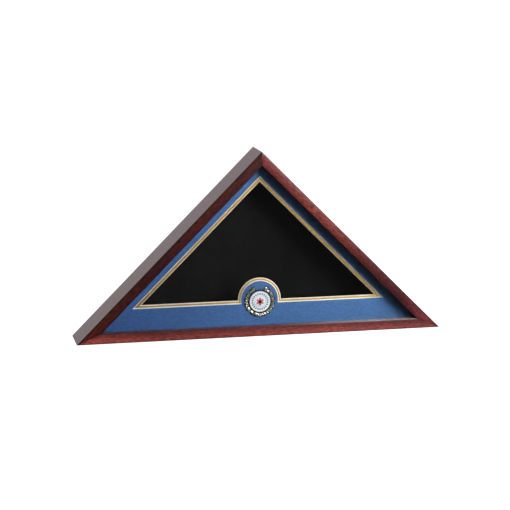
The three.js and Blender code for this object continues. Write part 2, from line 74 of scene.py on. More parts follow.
# The triangle's corners before their tips are sanded. Its legs lie at 45 degrees.
HALF_WIDTH = 330 * MM
APEX_Z = 330 * MM
LEG_LENGTH = HALF_WIDTH * math.sqrt(2)

# Each rail's own frame runs along the rail, back from its face, and inward. It has a start point
# and a turn about Y.
LEFT_TURN = math.radians(135)
RIGHT_TURN = math.radians(-135)
RAIL_FRAMES = {
    "bottom_rail": (Vector((-HALF_WIDTH, FRONT_Y, 0)), 0.0, HALF_WIDTH * 2),
    "left_side_rail": (Vector((0, FRONT_Y, APEX_Z)), LEFT_TURN, LEG_LENGTH),
    "right_side_rail": (Vector((HALF_WIDTH, FRONT_Y, 0)), RIGHT_TURN, LEG_LENGTH),
}


# --- Node graph helpers ------------------------------------------------------------------------

class Graph:
    """A material's nodes, written as expressions. A value may be a socket, a number or a colour."""

    def __init__(self, name):
        self.material = bpy.data.materials.new(name)
        self.material.use_nodes = True
        self.tree = self.material.node_tree
        self.bsdf = self.tree.nodes["Principled BSDF"]
        self.output = self.tree.nodes["Material Output"]

    def node(self, kind, **settings):
        made = self.tree.nodes.new(kind)
        for key, value in settings.items():
            setattr(made, key, value)
        return made

    def put(self, value, socket):
        if isinstance(value, bpy.types.NodeSocket):
            self.tree.links.new(value, socket)
        elif isinstance(value, (tuple, list)) and len(value) == 3 and socket.type == "RGBA":
            socket.default_value = (*value, 1)
        else:
            socket.default_value = value

    def place(self, origin=(0, 0, 0), turn=0.0, stretch=(1, 1, 1)):
        """Object coordinates seen from a frame at origin turned about Y, then stretched."""
        coords = self.node("ShaderNodeTexCoord").outputs["Object"]
        local = self.node("ShaderNodeMapping", vector_type="TEXTURE")
        local.inputs["Location"].default_value = origin
        local.inputs["Rotation"].default_value = (0, turn, 0)
        self.put(coords, local.inputs["Vector"])
        scaled = self.node("ShaderNodeMapping", vector_type="POINT")
        scaled.inputs["Scale"].default_value = stretch
        self.put(local.outputs["Vector"], scaled.inputs["Vector"])
        return scaled.outputs["Vector"]

    def noise(self, vector, scale, detail=4.0, roughness=0.5, distortion=0.0):
        made = self.node("ShaderNodeTexNoise")
        self.put(vector, made.inputs["Vector"])
        made.inputs["Scale"].default_value = scale
        made.inputs["Detail"].default_value = detail
        made.inputs["Roughness"].default_value = roughness
        made.inputs["Distortion"].default_value = distortion
        return made.outputs["Fac"]

    def waves(self, vector, scale, distortion, detail=2.0, axis="Z"):
        made = self.node("ShaderNodeTexWave", wave_type="BANDS", bands_direction=axis)
        self.put(vector, made.inputs["Vector"])
        made.inputs["Scale"].default_value = scale
        made.inputs["Distortion"].default_value = distortion
        made.inputs["Detail"].default_value = detail
        made.inputs["Detail Scale"].default_value = 1.5
        return made.outputs["Fac"]

    def ramp(self, value, *stops):
        """A colour ramp. Each stop is (position, colour or grey)."""
        made = self.node("ShaderNodeValToRGB")
        self.put(value, made.inputs["Fac"])
        elements = made.color_ramp.elements
        while len(elements) < len(stops):
            elements.new(0.5)
        for element, (position, colour) in zip(elements, stops):
            rgb = colour if isinstance(colour, tuple) else (colour,) * 3
            element.position = position
            element.color = (*rgb, 1)
        return made.outputs["Color"]

    def fade(self, value, start, end, low=0.0, high=1.0):
        """Runs smoothly from low to high as value goes from start to end."""
        made = self.node("ShaderNodeMapRange", interpolation_type="SMOOTHSTEP")
        self.put(value, made.inputs["Value"])
        for socket, number in zip(("From Min", "From Max", "To Min", "To Max"), (start, end, low, high)):
            made.inputs[socket].default_value = number
        return made.outputs["Result"]

    def maths(self, operation, a, b=0.0):
        made = self.node("ShaderNodeMath", operation=operation)
        self.put(a, made.inputs[0])
        self.put(b, made.inputs[1])
        return made.outputs[0]

    def mix(self, share, a, b, blend="MIX"):
        made = self.node("ShaderNodeMix", data_type="RGBA", blend_type=blend)
        self.put(share, made.inputs["Factor"])
        self.put(a, made.inputs["A"])
        self.put(b, made.inputs["B"])
        return made.outputs["Result"]

    def axes(self, vector):
        made = self.node("ShaderNodeSeparateXYZ")
        self.put(vector, made.inputs["Vector"])
        return made.outputs

    def bump(self, height, strength, distance, normal=None):
        made = self.node("ShaderNodeBump")
        self.put(height, made.inputs["Height"])
        made.inputs["Strength"].default_value = strength
        made.inputs["Distance"].default_value = distance
        if normal is not None:
            self.put(normal, made.inputs["Normal"])
        return made.outputs["Normal"]

    def finish(self, colour, roughness, normal=None, **constants):
        """Feeds the shader. Constants name its other sockets, with _ for a space."""
        self.put(colour, self.bsdf.inputs["Base Color"])
        self.put(roughness, self.bsdf.inputs["Roughness"])
        if normal is not None:
            self.put(normal, self.bsdf.inputs["Normal"])
        for key, value in constants.items():
            self.put(value, self.bsdf.inputs[key.replace("_", " ")])
        return self.material


# --- Materials ---------------------------------------------------------------------------------

FACE_DEPTH = (2 * MM, 4 * MM)           # the face's own tones give way to the body stain here
OUTER_ARRIS = (0.8 * MM, 2.8 * MM)
# The band at the inner arris is painted shade.
INNER_ARRIS_SHADE = (RAIL_FACE - 2.4 * MM, RAIL_FACE - 0.6 * MM)
LIP_EDGE = (RAIL_FACE - 0.8 * MM, RAIL_FACE - 0.2 * MM)
FACE_INSET = 1 * MM
GRAIN_DEPTH = 0.15 * MM
LACQUER_RIPPLE = 0.14 * MM
SIDE_RIPPLE = 0.75                      # the ripple on the sides and the back, against the face's
PORE_SHARE = 0.5


def wood_grain(g, origin, turn):
    """How light the grain is, and its streaks, all drawn out along the rail."""
    flecks = g.noise(g.place(origin, turn, (0.28, 1, 1)), 360, detail=4, roughness=0.62, distortion=0.3)
    streaks = g.noise(g.place(origin, turn, (0.06, 1, 1)), 420, detail=4, roughness=0.6)
    figure = g.noise(g.place(origin, turn, (0.05, 0.6, 1)), 70, detail=3, distortion=0.8)
    grain = g.maths("ADD", g.maths("MULTIPLY", flecks, 0.45), g.maths("MULTIPLY", streaks, 0.3))
    return g.maths("ADD", grain, g.maths("MULTIPLY", figure, 0.25)), streaks


def stained_wood_with_painted_light(name, origin, turn, length, tones):
    """Mahogany-stained hardwood under satin lacquer, with its grain along the rail. The front face
    has tones of its own, partly stain and partly painted light and shade, and the sides and the back of
    every rail share one deep stain."""
    g = Graph(name)
    grain, streaks = wood_grain(g, origin, turn)
    blotches = g.noise(g.place(origin, turn, (0.35, 1, 1)), 330, detail=3, roughness=0.65)
    pores = g.noise(g.place(origin, turn, (0.09, 1, 1)), 1700, detail=2, roughness=0.6)
    pore_mask = g.fade(pores, 0.60, 0.70)

    along, depth, inward = g.axes(g.place(origin, turn))[:3]
    share = g.maths("DIVIDE", along, length)
    # The face's tones are partly stain and partly painted light and shade: the dark left face, the tints
    # along each board and the fall from the outer to the inner edge stand in for how the lamps light each
    # face.
    face = g.ramp(grain, *zip(GRAIN_STOPS, tones["face"]))
    face = g.mix(1.0, face, g.ramp(share, *tones["along"]), "MULTIPLY")
    across = g.fade(inward, FACE_INSET, RAIL_FACE - FACE_INSET, tones["outer"], tones["inner"])
    face = g.mix(1.0, face, across, "MULTIPLY")
    body = g.ramp(grain, *zip(GRAIN_STOPS, BODY_STAIN))
    lip = g.fade(inward, *LIP_EDGE)
    at_front = g.fade(depth, *FACE_DEPTH, 1, 0)
    colour = g.mix(g.maths("MAXIMUM", at_front, lip), body, face)

    # Darker along the outer arris of the front, and painted shade along its inner arris.
    outer_edge = g.maths("MULTIPLY", at_front, g.fade(inward, *OUTER_ARRIS, 1, 0))
    edges = g.maths("MAXIMUM", outer_edge, g.fade(inward, *INNER_ARRIS_SHADE))
    colour = g.mix(edges, colour, tones["edge"])
    # Painted light on the lip towards the far end of the board: a painted highlight on the bottom rail,
    # painted shade on the side rails.
    colour = g.mix(g.maths("MULTIPLY", lip, g.fade(share, 0.5, 0.8)), colour, tones["rubbed"])
    mottle = tones["mottle"]
    colour = g.mix(1.0, colour, g.fade(blotches, 0.3, 0.7, 1 - mottle, 1 + mottle), "MULTIPLY")
    colour = g.mix(g.maths("MULTIPLY", pore_mask, PORE_SHARE), colour, tones["edge"])

    relief = g.maths("SUBTRACT", g.maths("MULTIPLY", streaks, 0.5), pore_mask)
    normal = g.bump(relief, 0.15, GRAIN_DEPTH)
    ripple = g.noise(g.place(origin, turn, (0.4, 1, 1)), 480, detail=3, roughness=0.6)
    raised = g.maths("MULTIPLY", ripple, g.fade(depth, *FACE_DEPTH, 1, SIDE_RIPPLE))
    normal = g.bump(raised, 1.0, LACQUER_RIPPLE, normal)
    roughness = g.fade(ripple, 0.25, 0.75, 0.27, 0.42)
    return g.finish(colour, roughness, normal, Coat_Weight=0.3, Coat_Roughness=0.2)


def bare_wood(name, turn=0.0, tint=(0.50, 0.33, 0.17)):
    """Planed softwood with pale early wood and darker rings."""
    g = Graph(name)
    rings = g.waves(g.place((0, FRONT_Y, 0), turn, (0.05, 1, 1)), 55, 6.0)
    fine = g.noise(g.place((0, 0, 0), turn, (0.03, 1, 1)), 1100, detail=3)
    pale = tuple(min(1, c * 1.18) for c in tint)
    deep = tuple(c * 0.62 for c in tint)
    colour = g.ramp(rings, (0.2, pale), (0.7, tint), (0.92, deep))
    colour = g.mix(g.fade(fine, 0.4, 0.7, 0.0, 0.3), colour, deep)
    return g.finish(colour, g.fade(fine, 0.3, 0.7, 0.55, 0.75), g.bump(fine, 0.15, 0.15 * MM))


def mat_face(name, base, fleck, roughness, metallic=0.0, grain=2600,
             painted_falloff=((1, 1, 1), (1, 1, 1))):
    """Paper-faced or suede-faced mat board: short fibres, small tufts and a faint cloudiness. The last
    argument holds the tints of the left and the right end of the board, painted light that dims towards
    the left end."""
    g = Graph(name)
    fibre = g.noise(g.place(stretch=(0.35, 1, 1)), grain, detail=3, roughness=0.65)
    cloud = g.noise(g.place(), 18, detail=3)
    colour = g.mix(g.fade(fibre, 0.3, 0.7), base, fleck)
    colour = g.mix(g.fade(cloud, 0.3, 0.7, 0.0, 0.35), colour, tuple(c * 0.86 for c in base))
    tufts = g.noise(g.place(stretch=(0.5, 1, 1)), 340, detail=3, roughness=0.6)
    colour = g.mix(1.0, colour, g.fade(tufts, 0.3, 0.7, 0.87, 1.13), "MULTIPLY")
    x = g.axes(g.place())[0]
    # Painted light: the board dims from its right end towards its left.
    tint = g.mix(g.fade(x, -HALF_WIDTH, HALF_WIDTH * 0.6), *painted_falloff)
    colour = g.mix(1.0, colour, tint, "MULTIPLY")
    rough = g.fade(fibre, 0.3, 0.7, roughness - 0.06, roughness + 0.06)
    return g.finish(colour, rough, g.bump(fibre, 0.25, 0.08 * MM), Metallic=metallic)


def mat_core(name, base):
    """The cut core of a mat board: pale pulp with faint layers."""
    g = Graph(name)
    layers = g.noise(g.place(stretch=(0.1, 4, 0.1)), 1500, detail=2)
    colour = g.mix(g.fade(layers, 0.3, 0.7), base, tuple(c * 0.88 for c in base))
    return g.finish(colour, 0.85, g.bump(layers, 0.1, 0.05 * MM))


def velvet(name):
    """Short black pile, with a nap that catches a little light."""
    g = Graph(name)
    pile = g.noise(g.place(), 4200, detail=2, roughness=0.7)
    nap = g.noise(g.place(stretch=(1, 1, 0.5)), 22, detail=4, roughness=0.6)
    colour = g.mix(g.fade(pile, 0.3, 0.7), (0.0014, 0.0014, 0.0016), (0.0046, 0.0045, 0.0049))
    colour = g.mix(g.fade(nap, 0.35, 0.7, 0.0, 0.6), colour, (0.0070, 0.0069, 0.0072))
    material = g.finish(colour, 0.95, g.bump(pile, 0.4, 0.12 * MM), Sheen_Weight=0.12, Sheen_Roughness=0.45)
    g.bsdf.inputs["Specular IOR Level"].default_value = 0.1
    return material


PANE_TINT = (0.915, 0.93, 0.922)
PANE_IOR = 1.36


def clear_glass(name):
    """Picture glass with a weak reflection. Lamps shine straight through it, as through a thin pane."""
    g = Graph(name)
    g.bsdf.inputs["Base Color"].default_value = (*PANE_TINT, 1)
    g.bsdf.inputs["Roughness"].default_value = 0.0
    g.bsdf.inputs["IOR"].default_value = PANE_IOR
    g.bsdf.inputs["Transmission Weight"].default_value = 1.0
    path = g.node("ShaderNodeLightPath")
    through = g.node("ShaderNodeBsdfTransparent")
    through.inputs["Color"].default_value = (*PANE_TINT, 1)
    blend = g.node("ShaderNodeMixShader")
    g.put(path.outputs["Is Shadow Ray"], blend.inputs["Fac"])
    g.tree.links.new(g.bsdf.outputs["BSDF"], blend.inputs[1])
    g.tree.links.new(through.outputs["BSDF"], blend.inputs[2])
    g.tree.links.new(blend.outputs["Shader"], g.output.inputs["Surface"])
    return g.material


def metal(name, bright, dull, roughness, scratch_scale=700, tarnish=0.5):
    """Worked metal: bright where it is rubbed, duller where tarnish stays, with fine scratches."""
    g = Graph(name)
    cloud = g.noise(g.place(), 260, detail=4, roughness=0.6)
    scratch = g.noise(g.place(stretch=(0.08, 1, 1)), scratch_scale, detail=2)
    colour = g.mix(g.fade(cloud, 0.35, 0.7, 0.0, tarnish), bright, dull)
    rough = g.fade(scratch, 0.3, 0.7, roughness - 0.08, roughness + 0.1)
    return g.finish(colour, rough, g.bump(scratch, 0.08, 0.05 * MM), Metallic=1.0)


def antique_cast(name, bright, recess, centre, ring_radius, front_y, relief):
    """Cast metal darkened in its recesses and polished on its high spots. Height above the back of
    the relief stands in for exposure to the polishing wheel, which the raised ring kept away from
    the metal next to it."""
    g = Graph(name)
    x, y, z = g.axes(g.place((centre[0], 0, centre[1])))[:3]
    squares = g.maths("ADD", g.maths("MULTIPLY", x, x), g.maths("MULTIPLY", z, z))
    radius = g.maths("SQRT", squares)
    grit = g.noise(g.place(), 900, detail=3)
    height = g.fade(y, front_y + relief * 0.62, front_y + relief * 0.1)
    polish = g.maths("MULTIPLY", height, g.fade(grit, 0.2, 0.6, 0.7, 1.0))
    polish = g.maths("MULTIPLY", polish, g.fade(radius, ring_radius, ring_radius + 2 * MM))
    colour = g.mix(polish, recess, bright)
    rough = g.fade(polish, 0.0, 1.0, 0.6, 0.2)
    return g.finish(colour, rough, g.bump(grit, 0.12, 0.08 * MM), Metallic=0.85)


def enamel(name, colour, deep):
    """Fired enamel: glassy, with a slight pooling of colour."""
    g = Graph(name)
    pool = g.noise(g.place(), 320, detail=2)
    mixed = g.mix(g.fade(pool, 0.3, 0.7, 0.0, 0.6), colour, deep)
    ripple = g.noise(g.place(), 150, detail=1)
    return g.finish(mixed, 0.12, g.bump(ripple, 0.06, 0.1 * MM), Coat_Weight=0.6, Coat_Roughness=0.05)


def plain_solid(name, colour, fleck, roughness, scale=1200, strength=0.2):
    """Moulded plastic, rubber, foam or hardboard: a base colour with fine flecks and a skin."""
    g = Graph(name)
    grain = g.noise(g.place(), scale, detail=4, roughness=0.6)
    mixed = g.mix(g.fade(grain, 0.35, 0.7), colour, fleck)
    rough = g.fade(grain, 0.3, 0.7, roughness - 0.06, roughness + 0.06)
    return g.finish(mixed, rough, g.bump(grain, strength, 0.1 * MM))


# Stain colours go from dark to light grain, and each rail's face has its own. along tints the board
# at shares of its length, and outer and inner do so at its outer and inner edge. The face colours and
# these tints are partly stain and partly painted light and shade, for how the lamps light each face.
# mottle says how unevenly the wood took the stain. edge is the tone of the pores and of the arrises,
# which is painted shade at the inner arris. The last entry is the painted light on the lip in front of
# the glass towards the far end of the board: a highlight on the bottom rail and shade on the sides.
GRAIN_STOPS = (0.38, 0.5, 0.62)
BODY_STAIN = ((0.066, 0.0105, 0.0080), (0.104, 0.0165, 0.0130), (0.155, 0.0255, 0.0200))
STAIN_AND_PAINTED_LIGHT = {
    "bottom_rail": {
        "face": ((0.19, 0.036, 0.030), (0.30, 0.061, 0.053), (0.41, 0.090, 0.080)),
        "along": ((0.0, (1.95, 1.85, 1.75)), (0.1, (1.85, 1.65, 1.5)), (0.22, (1.13, 1.08, 1.03)),
                  (0.6, (1.1, 1.15, 1.1)), (1.0, (0.9, 1.0, 1.18))),
        "outer": 1.3, "inner": 0.5, "mottle": 0.38,
        "edge": (0.095, 0.018, 0.015), "rubbed": (0.33, 0.26, 0.27),
    },
    "left_side_rail": {
        "face": ((0.050, 0.0070, 0.005), (0.088, 0.0125, 0.0095), (0.14, 0.020, 0.015)),
        "along": ((0.0, (0.75, 1.0, 1.1)), (0.35, (1.15, 1.0, 0.9)), (0.6, (0.68, 0.65, 0.95)),
                  (0.83, (1.15, 1.15, 1.0)), (1.0, (1.7, 1.5, 1.2))),
        "outer": 1.05, "inner": 0.85, "mottle": 0.6,
        "edge": (0.022, 0.0035, 0.003), "rubbed": (0.030, 0.006, 0.005),
    },
    "right_side_rail": {
        "face": ((0.18, 0.030, 0.024), (0.275, 0.046, 0.037), (0.38, 0.067, 0.056)),
        "along": ((0.0, (0.95, 0.95, 1.15)), (0.1, (0.68, 0.68, 0.9)), (0.2, (0.31, 0.27, 0.42)),
                  (0.42, (0.42, 0.33, 0.38)), (0.62, (0.84, 0.85, 0.80)), (1.0, (0.75, 0.75, 0.80))),
        "outer": 1.15, "inner": 0.82, "mottle": 0.6,
        "edge": (0.040, 0.008, 0.007), "rubbed": (0.06, 0.012, 0.010),
    },
}

GOLD_BRIGHT = (0.80, 0.60, 0.29)
GOLD_DULL = (0.42, 0.29, 0.13)
STEEL_BRIGHT = (0.62, 0.64, 0.67)
STEEL_DULL = (0.34, 0.35, 0.37)

BLUE_FACE = mat_face("blue_mat_face", (0.038, 0.107, 0.290), (0.054, 0.141, 0.367), 0.9,
                     painted_falloff=((0.78, 0.84, 0.95), (1.18, 1.16, 1.04)))
GOLD_FACE = mat_face("gold_mat_face", (0.52, 0.305, 0.085), (0.68, 0.42, 0.14), 0.5, metallic=0.75,
                     painted_falloff=((0.80, 0.78, 0.75), (1.20, 1.22, 1.20)))
WHITE_CORE = mat_core("white_core", (0.82, 0.80, 0.77))
CREAM_CORE = mat_core("cream_core", (0.86, 0.74, 0.56))
BRASS = metal("brass_plate", GOLD_BRIGHT, GOLD_DULL, 0.34)
STEEL = metal("steel_wire", STEEL_BRIGHT, STEEL_DULL, 0.36)
BLACK_PLASTIC = plain_solid("black_spacer", (0.010, 0.010, 0.011), (0.020, 0.020, 0.021), 0.55)
RUBBER = plain_solid("rubber_bumper", (0.018, 0.018, 0.019), (0.032, 0.032, 0.033), 0.8)
FOAM = plain_solid("foam_pad", (0.72, 0.71, 0.67), (0.60, 0.59, 0.55), 0.9, scale=2500, strength=0.5)
HARDBOARD = plain_solid("hardboard", (0.225, 0.135, 0.075), (0.35, 0.225, 0.132), 0.6, scale=1000)
WHITE_ENAMEL = enamel("white_enamel", (0.80, 0.83, 0.87), (0.66, 0.71, 0.78))
RED_ENAMEL = enamel("red_enamel", (0.72, 0.19, 0.22), (0.60, 0.09, 0.12))
GREY_ENAMEL = enamel("blue_grey_enamel", (0.13, 0.19, 0.33), (0.07, 0.11, 0.22))
BLUE_ENAMEL = enamel("blue_enamel", (0.012, 0.02, 0.07), (0.008, 0.012, 0.045))


# --- Mesh helpers ------------------------------------------------------------------------------

def add_piece(name, mesh, body, slot, *replaced):
    piece = bpy.data.objects.new(name, mesh)
    bpy.context.scene.collection.objects.link(piece)
    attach(piece, body)
    if replaced:
        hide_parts(*replaced)
    return piece


def shade_smooth(mesh, angle=35):
    mesh.polygons.foreach_set("use_smooth", [True] * len(mesh.polygons))
    mesh.set_sharp_from_angle(angle=math.radians(angle))


def mesh_from(bm, name, *materials):
    bmesh.ops.recalc_face_normals(bm, faces=bm.faces)
    mesh = bpy.data.meshes.new(name)
    bm.to_mesh(mesh)
    bm.free()
    for material in materials:
        mesh.materials.append(material)
    shade_smooth(mesh)
    return mesh


def turned(bm, profile, centre, segments=64):
    """Adds a solid of revolution about the Y direction. The profile is (radius, y), open at its
    ends where the radius is zero and closed on itself otherwise."""
    x, z = centre
    rings = []
    for radius, y in profile:
        if radius < 1e-9:
            rings.append([bm.verts.new((x, y, z))])
            continue
        ring = []
        for i in range(segments):
            angle = 2 * math.pi * i / segments
            ring.append(bm.verts.new((x + radius * math.cos(angle), y, z + radius * math.sin(angle))))
        rings.append(ring)
    pairs = list(zip(rings, rings[1:]))
    if profile[0][0] > 1e-9:
        pairs.append((rings[-1], rings[0]))
    for a, b in pairs:
        for i in range(segments):
            j = (i + 1) % segments
            if len(a) == 1:
                bm.faces.new((a[0], b[i], b[j]))
            elif len(b) == 1:
                bm.faces.new((a[i], b[0], a[j]))
            else:
                bm.faces.new((a[i], b[i], b[j], a[j]))


def rounded_plate(name, outline, y_front, y_back, edge, holes=()):
    """A flat piece in the XZ plane with softly rounded edges, as a mesh. Outlines are (x, z)."""
    curve = bpy.data.curves.new(name + "_outline", "CURVE")
    curve.dimensions = "2D"
    curve.fill_mode = "BOTH"
    for points in (outline, *holes):
        spline = curve.splines.new("POLY")
        spline.points.add(len(points) - 1)
        spline.use_cyclic_u = True
        for point, (x, z) in zip(spline.points, points):
            point.co = (x, z, 0, 1)
    curve.extrude = (y_back - y_front) / 2 - edge
    curve.bevel_depth = edge
    curve.bevel_resolution = 3
    curve.offset = -edge
    holder = bpy.data.objects.new(name + "_outline", curve)
    bpy.context.scene.collection.objects.link(holder)
    depsgraph = bpy.context.evaluated_depsgraph_get()
    mesh = bpy.data.meshes.new_from_object(holder.evaluated_get(depsgraph))
    bpy.data.objects.remove(holder)
    bpy.data.curves.remove(curve)
    turn = Matrix.Rotation(math.radians(90), 4, "X")
    mesh.transform(Matrix.Translation((0, (y_front + y_back) / 2, 0)) @ turn)
    bm = bmesh.new()
    bm.from_mesh(mesh)
    bpy.data.meshes.remove(mesh)
    bmesh.ops.remove_doubles(bm, verts=bm.verts, dist=1e-6)
    return bm


def arc(centre, radius, start, end, steps):
    cx, cz = centre
    angles = [start + (end - start) * i / steps for i in range(steps + 1)]
    return [(cx + radius * math.cos(a), cz + radius * math.sin(a)) for a in angles]


def cut(bm, name, cutter):
    """Subtracts a closed cutter from a closed solid. Both are bmeshes, and both are used up."""
    made = []
    for suffix, source in (("_body", bm), ("_cutter", cutter)):
        bmesh.ops.recalc_face_normals(source, faces=source.faces)
        mesh = bpy.data.meshes.new(name + suffix)
        source.to_mesh(mesh)
        source.free()
        holder = bpy.data.objects.new(name + suffix, mesh)
        bpy.context.scene.collection.objects.link(holder)
        made.append(holder)
    body, tool = made
    step = body.modifiers.new("cut", "BOOLEAN")
    step.object = tool
    step.operation = "DIFFERENCE"
    step.solver = "EXACT"
    depsgraph = bpy.context.evaluated_depsgraph_get()
    result = bpy.data.meshes.new_from_object(body.evaluated_get(depsgraph))
    for holder in made:
        mesh = holder.data
        bpy.data.objects.remove(holder)
        bpy.data.meshes.remove(mesh)
    out = bmesh.new()
    out.from_mesh(result)
    bpy.data.meshes.remove(result)
    return out


def box_mesh(low, high, turn=0.0, centre=(0, 0)):
    """A closed block between two corners, turned about a line along Y through centre."""
    bm = bmesh.new()
    bmesh.ops.create_cube(bm, size=1)
    middle = (Vector(low) + Vector(high)) / 2
    size = Vector(high) - Vector(low)
    pivot = Matrix.Translation((centre[0], 0, centre[1]))
    spin = pivot @ Matrix.Rotation(turn, 4, "Y") @ pivot.inverted()
    bm.transform(spin @ Matrix.Translation(middle) @ Matrix.Diagonal((*size, 1)))
    return bm


# --- CAD nodes that keep their shape -----------------------------------------------------------

def dress(node, *materials, edge=None):
    """Gives a CAD node its materials, smooth shading and, if asked for, softened edges."""
    piece = NODES[node]
    piece.data.materials.clear()
    for material in materials:
        piece.data.materials.append(material)
    shade_smooth(piece.data)
    if edge:
        soften = piece.modifiers.new("softened_edges", "BEVEL")
        soften.width = edge
        soften.segments = 2
        soften.limit_method = "ANGLE"
        soften.angle_limit = math.radians(40)
        soften.harden_normals = True
    return piece


def by_facing(piece, front_index, other_index):
    """Polygons that face squarely forward get one material, and all others another."""
    for polygon in piece.data.polygons:
        polygon.material_index = front_index if polygon.normal.y < -0.99 else other_index


SOFT_EDGE = 0.3 * MM
PLATE_EDGE = 0.12 * MM

for rail, (origin, turn, length) in RAIL_FRAMES.items():
    dress(rail, stained_wood_with_painted_light(rail + "_stain", origin, turn, length, STAIN_AND_PAINTED_LIGHT[rail]))

for side, turn in (("bottom", 0.0), ("left", LEFT_TURN), ("right", RIGHT_TURN)):
    dress(side + "_glass_spacer", BLACK_PLASTIC)
    dress(side + "_mat_retainer", bare_wood(side + "_retainer_wood", turn), edge=SOFT_EDGE)
    dress(side + "_back_stop", bare_wood(side + "_stop_wood", turn), edge=SOFT_EDGE)

dress("glass_pane", clear_glass("picture_glass"))
by_facing(dress("top_mat", BLUE_FACE, WHITE_CORE), 0, 1)
by_facing(dress("under_mat", GOLD_FACE, CREAM_CORE), 0, 1)
dress("medallion_pad", FOAM)
dress("back_panel", HARDBOARD, edge=SOFT_EDGE)
dress("apex_block", bare_wood("block_wood", 0.0, (0.42, 0.26, 0.13)), edge=SOFT_EDGE)
dress("sawtooth_hanger", BRASS, edge=PLATE_EDGE)
for corner in ("left_corner", "right_corner", "apex"):
    dress(corner + "_v_nail", STEEL)


# --- Velvet lining -----------------------------------------------------------------------------

VELVET_EDGE = 0.4 * MM


def make_lining():
    """A flat velvet-faced card with soft edges, on the front of the back panel."""
    low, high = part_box("panel_lining")
    corners = [v.co for v in NODES["panel_lining"].data.vertices]
    top_half = max(point.x for point in corners if point.z > high.z - 1 * MM)
    outline = [(low.x, low.z), (high.x, low.z), (top_half, high.z), (-top_half, high.z)]
    bm = rounded_plate("lining", outline, low.y, high.y, VELVET_EDGE)
    mesh = mesh_from(bm, "velvet_lining", velvet("black_velvet"))
    add_piece("velvet_lining", mesh, "back_panel", "black_velvet", "panel_lining")


make_lining()


# --- Medallion ---------------------------------------------------------------------------------

WREATH_LOW, WREATH_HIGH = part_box("medallion_wreath")
RING_LOW, RING_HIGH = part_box("medallion_enamel_ring")
MEDAL = ((RING_LOW.x + RING_HIGH.x) / 2, (RING_LOW.z + RING_HIGH.z) / 2)
WREATH_LIMIT = (WREATH_HIGH.x - WREATH_LOW.x) / 2
WREATH_FLARE = 2.2 * MM
BAND_RADIUS = 21.3 * MM
STEM_RADIUS = 22.2 * MM
LEAF_NODES = 7
FIRST_LEAF = math.radians(-82)
LAST_LEAF = math.radians(40)
TIP_STEP = math.radians(15)
TIP_SHRINK = 0.12

# Leaves, in millimetres. Lean is how far a leaf turns outward from the line of its branch, and
# layer 0 lies behind layer 1.
NODE_LEAVES = (                         # lean, length, width, layer, start outward of the stem
    (0.9, 9.0, 5.2, 0, 0.4),
    (-0.02, 10.2, 4.4, 1, 0.8),
)
NODE_LIFT = 1.4 * MM
TIP_LEAVES = ((0.05, 7.5, 0), (0.75, 10.0, 1), (1.9, 8.0, 0))           # lean, length, layer
TIP_WIDTH = 4.4 * MM
TIP_LIFT = 1.5 * MM
BOW_LEAVES = ((12, 7.2), (-42, 5.0))    # degrees over the level, length
BOW_WIDTH = 3.4 * MM
BOW_LIFT = 1.3 * MM
BOW_DROP = 1.8 * MM
BERRY_RADIUS = 1.2 * MM
KNOT_RADIUS = 1.8 * MM
BEAD_HEIGHT = 1.35 * MM

RING_INNER_RADIUS = 10.2 * MM
RING_FACE_DROP = 0.22 * MM              # the ring's face lies this far behind its rims
ROPE_STRANDS = 36
ROPE_INSET = 1.7 * MM
ROPE_SLANT = math.radians(48)
LOZENGES = 22
LOZENGE_INSET = 1.7 * MM


def on_medal(radius, angle):
    """A point on a circle about the middle of the medallion."""
    return MEDAL[0] + radius * math.cos(angle), MEDAL[1] + radius * math.sin(angle)


def quarter_turn(steps):
    """Angles from level to upright."""
    return [math.pi / 2 * k / steps for k in range(steps + 1)]


def hold_within(bm, front, radius, flare=0.0):
    """Draws points in to a radius, which grows by flare towards the top, and keeps them behind front."""
    for vertex in bm.verts:
        flat = Vector((vertex.co.x - MEDAL[0], vertex.co.z - MEDAL[1]))
        rise = max(0.0, flat.y / max(flat.length, 1e-9))
        limit = radius + flare * rise * rise
        if flat.length > limit:
            flat *= limit / flat.length
            vertex.co.x, vertex.co.z = MEDAL[0] + flat.x, MEDAL[1] + flat.y
        vertex.co.y = max(vertex.co.y, front)


def leaf(bm, base, heading, length, width, y_base, lift):
    """A pointed leaf with a raised midrib and an arched blade. It grows from base along heading, and
    stands lift in front of y_base."""
    steps, halves = 9, 3
    forward = Vector((math.cos(heading), 0, math.sin(heading)))
    across = Vector((-math.sin(heading), 0, math.cos(heading)))
    grid = []
    for i in range(steps + 1):
        t = i / steps
        half_width = width / 2 * math.sin(math.pi * min(1, t * 0.93 + 0.07)) ** 0.8
        row = []
        for j in range(-halves, halves + 1):
            s = j / halves
            crest = 1 - abs(s) ** 1.1
            rise = lift * math.sin(math.pi * min(1, t + 0.1)) * (0.35 + 0.65 * crest)
            rib = 0.12 * lift if j == 0 else 0.0
            point = Vector((base[0], 0, base[1])) + forward * (length * t) + across * (half_width * s)
            point.y = y_base - rise - rib
            row.append(bm.verts.new(point))
        grid.append(row)
    under = [[bm.verts.new((v.co.x, y_base, v.co.z)) for v in row] for row in grid]
    for i in range(steps):
        for j in range(2 * halves):
            bm.faces.new((grid[i][j], grid[i][j + 1], grid[i + 1][j + 1], grid[i + 1][j]))
            bm.faces.new((under[i][j], under[i + 1][j], under[i + 1][j + 1], under[i][j + 1]))
    rim = [(i, 0) for i in range(steps + 1)] + [(steps, j) for j in range(1, 2 * halves + 1)]
    rim += [(i, 2 * halves) for i in range(steps - 1, -1, -1)]
    rim += [(0, j) for j in range(2 * halves - 1, 0, -1)]
    for (i, j), (k, l) in zip(rim, rim[1:] + rim[:1]):
        bm.faces.new((grid[i][j], under[i][j], under[k][l], grid[k][l]))


def bead(bm, x, z, y_base, radius, height, segments=14):
    """A round domed bead that stands on y_base."""
    dome = [(radius * math.cos(a), y_base - height * math.sin(a)) for a in quarter_turn(5)[1:-1]]
    turned(bm, [(0, y_base), (radius, y_base), *dome, (0, y_base - height)], (x, z), segments)


